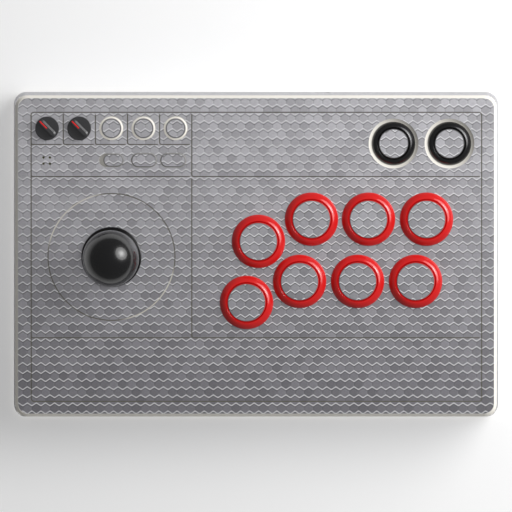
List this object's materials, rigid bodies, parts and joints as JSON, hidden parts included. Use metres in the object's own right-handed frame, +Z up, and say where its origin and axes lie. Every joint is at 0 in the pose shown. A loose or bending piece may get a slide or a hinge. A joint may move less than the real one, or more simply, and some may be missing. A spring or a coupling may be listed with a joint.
{
  "type": "arcade joystick panel",
  "caption": "Table-top arcade control panel: a low box with a ball-top lever, rows of push buttons and a block of small selector controls.",
  "frame": {"origin": "middle of the footprint, on the surface that the panel stands on", "axes": "+X to the player's right along the long side, +Y away from the player, +Z up"},
  "size_m": [0.303, 0.2032, 0.1118],
  "materials": {
    "shell_plastic": "fine satin moulded plastic, warm light grey",
    "hex_skin": "metallic grey printed film with a hexagon relief",
    "red_gloss": "glossy red moulded plastic",
    "black_gloss": "glossy black moulded plastic",
    "black_satin": "satin black moulded plastic",
    "knob_plastic": "satin black with a red pointer line",
    "base_plastic": "dark grey textured plastic",
    "mat_rubber": "ribbed black rubber",
    "steel": "zinc-plated steel",
    "chrome": "turned and polished steel",
    "board_green": "green solder mask with gold pads",
    "switch_body": "black switch plastic with tin terminals",
    "clear_guide": "clear plastic light guide",
    "white_plastic": "white low-friction plastic",
    "battery_wrap": "blue shrink wrap"
  },
  "bodies": {
    "case": {"top_shell": "shell_plastic", "skin_top": "hex_skin", "skin_sides": "hex_skin", "base_plate": "base_plastic", "non_slip_mat": "mat_rubber", "case_screws": "steel", "button_microswitches": "switch_body", "mounting_plate": "steel", "plate_screws": "steel", "lever_housing": "black_satin", "lever_switch_board": "board_green", "lever_microswitches": "switch_body", "restrictor_gate": "black_satin", "rotary_switches": "switch_body", "slide_switch_body": "switch_body", "tact_switches": "switch_body", "indicator_light_guide": "clear_guide", "control_board": "board_green", "main_board": "board_green", "board_screws": "steel", "usb_socket": "steel", "battery_pack": "battery_wrap", "button_housing_1": "red_gloss", "button_housing_2": "red_gloss", "button_housing_3": "red_gloss", "button_housing_4": "red_gloss", "button_housing_5": "red_gloss", "button_housing_6": "red_gloss", "button_housing_7": "red_gloss", "button_housing_8": "red_gloss", "aux_housing_1": "black_gloss", "aux_housing_2": "black_gloss"},
    "button_1": {"button_plunger_1": "red_gloss"},
    "button_2": {"button_plunger_2": "red_gloss"},
    "button_3": {"button_plunger_3": "red_gloss"},
    "button_4": {"button_plunger_4": "red_gloss"},
    "button_5": {"button_plunger_5": "red_gloss"},
    "button_6": {"button_plunger_6": "red_gloss"},
    "button_7": {"button_plunger_7": "red_gloss"},
    "button_8": {"button_plunger_8": "red_gloss"},
    "aux_button_1": {"aux_plunger_1": "black_gloss"},
    "aux_button_2": {"aux_plunger_2": "black_gloss"},
    "function_button_1": {"round_button_1": "shell_plastic"},
    "function_button_2": {"round_button_2": "shell_plastic"},
    "function_button_3": {"round_button_3": "shell_plastic"},
    "pill_1": {"pill_button_1": "shell_plastic"},
    "pill_2": {"pill_button_2": "shell_plastic"},
    "mode_knob": {"mode_knob": "knob_plastic"},
    "link_knob": {"link_knob": "knob_plastic"},
    "slide_switch": {"slide_switch_cap": "hex_skin"},
    "lever_spring": {"return_spring": "steel"},
    "lever_pivot": {"pivot_ball": "white_plastic", "actuator": "black_satin"},
    "lever": {"lever_shaft": "chrome", "shaft_clip": "steel", "shaft_sleeve": "black_satin", "ball_top": "black_gloss"},
    "glide_ring": {"washer_glide_ring": "white_plastic"},
    "washer": {"dust_washer": "black_satin"}
  },
  "joints": [
    {"name": "button_1_press", "type": "slide", "parent": "case", "child": "button_1", "axis": [0, 0, -1], "range_m": [0, 0.003], "stiffness_N_per_m": 250},
    {"name": "button_2_press", "type": "slide", "parent": "case", "child": "button_2", "axis": [0, 0, -1], "range_m": [0, 0.003], "stiffness_N_per_m": 250},
    {"name": "button_3_press", "type": "slide", "parent": "case", "child": "button_3", "axis": [0, 0, -1], "range_m": [0, 0.003], "stiffness_N_per_m": 250},
    {"name": "button_4_press", "type": "slide", "parent": "case", "child": "button_4", "axis": [0, 0, -1], "range_m": [0, 0.003], "stiffness_N_per_m": 250},
    {"name": "button_5_press", "type": "slide", "parent": "case", "child": "button_5", "axis": [0, 0, -1], "range_m": [0, 0.003], "stiffness_N_per_m": 250},
    {"name": "button_6_press", "type": "slide", "parent": "case", "child": "button_6", "axis": [0, 0, -1], "range_m": [0, 0.003], "stiffness_N_per_m": 250},
    {"name": "button_7_press", "type": "slide", "parent": "case", "child": "button_7", "axis": [0, 0, -1], "range_m": [0, 0.003], "stiffness_N_per_m": 250},
    {"name": "button_8_press", "type": "slide", "parent": "case", "child": "button_8", "axis": [0, 0, -1], "range_m": [0, 0.003], "stiffness_N_per_m": 250},
    {"name": "aux_button_1_press", "type": "slide", "parent": "case", "child": "aux_button_1", "axis": [0, 0, -1], "range_m": [0, 0.003], "stiffness_N_per_m": 250},
    {"name": "aux_button_2_press", "type": "slide", "parent": "case", "child": "aux_button_2", "axis": [0, 0, -1], "range_m": [0, 0.003], "stiffness_N_per_m": 250},
    {"name": "function_button_1_press", "type": "slide", "parent": "case", "child": "function_button_1", "axis": [0, 0, -1], "range_m": [0, 0.0006], "stiffness_N_per_m": 1500},
    {"name": "function_button_2_press", "type": "slide", "parent": "case", "child": "function_button_2", "axis": [0, 0, -1], "range_m": [0, 0.0006], "stiffness_N_per_m": 1500},
    {"name": "function_button_3_press", "type": "slide", "parent": "case", "child": "function_button_3", "axis": [0, 0, -1], "range_m": [0, 0.0006], "stiffness_N_per_m": 1500},
    {"name": "pill_1_press", "type": "slide", "parent": "case", "child": "pill_1", "axis": [0, 0, -1], "range_m": [0, 0.0006], "stiffness_N_per_m": 1500},
    {"name": "pill_2_press", "type": "slide", "parent": "case", "child": "pill_2", "axis": [0, 0, -1], "range_m": [0, 0.0006], "stiffness_N_per_m": 1500},
    {"name": "mode_knob_turn", "type": "hinge", "parent": "case", "child": "mode_knob", "pos_m": [-0.13, 0.0795, 0.051], "axis": [0, 0, 1], "range_deg": [-90, 0]},
    {"name": "link_knob_turn", "type": "hinge", "parent": "case", "child": "link_knob", "pos_m": [-0.11, 0.0795, 0.051], "axis": [0, 0, 1], "range_deg": [-90, 0]},
    {"name": "slide_switch_slide", "type": "slide", "parent": "case", "child": "slide_switch", "axis": [-1, 0, 0], "range_m": [0, 0.0025]},
    {"name": "lever_tilt_y", "type": "hinge", "parent": "case", "child": "lever_spring", "pos_m": [-0.09, -0.0006, 0.036], "axis": [1, 0, 0], "range_deg": [-8.5, 8.5], "stiffness_Nm_per_rad": 1.2},
    {"name": "lever_tilt_x", "type": "hinge", "parent": "lever_spring", "child": "lever_pivot", "pos_m": [-0.09, -0.0006, 0.036], "axis": [0, 1, 0], "range_deg": [-8.5, 8.5], "stiffness_Nm_per_rad": 1.2},
    {"name": "lever_spin", "type": "hinge", "parent": "lever_pivot", "child": "lever", "pos_m": [-0.09, -0.0006, 0.036], "axis": [0, 0, 1], "continuous": true},
    {"name": "glide_ring_slide", "type": "slide", "parent": "case", "child": "glide_ring", "axis": [1, 0, 0], "range_m": [-0.003, 0.003]},
    {"name": "washer_slide", "type": "slide", "parent": "glide_ring", "child": "washer", "axis": [0, 1, 0], "range_m": [-0.003, 0.003]}
  ],
  "couplings": [
    {"joint": "glide_ring_slide", "follows": "lever_tilt_x", "m_per_rad": 0.0163},
    {"joint": "washer_slide", "follows": "lever_tilt_y", "m_per_rad": -0.0163}
  ]
}
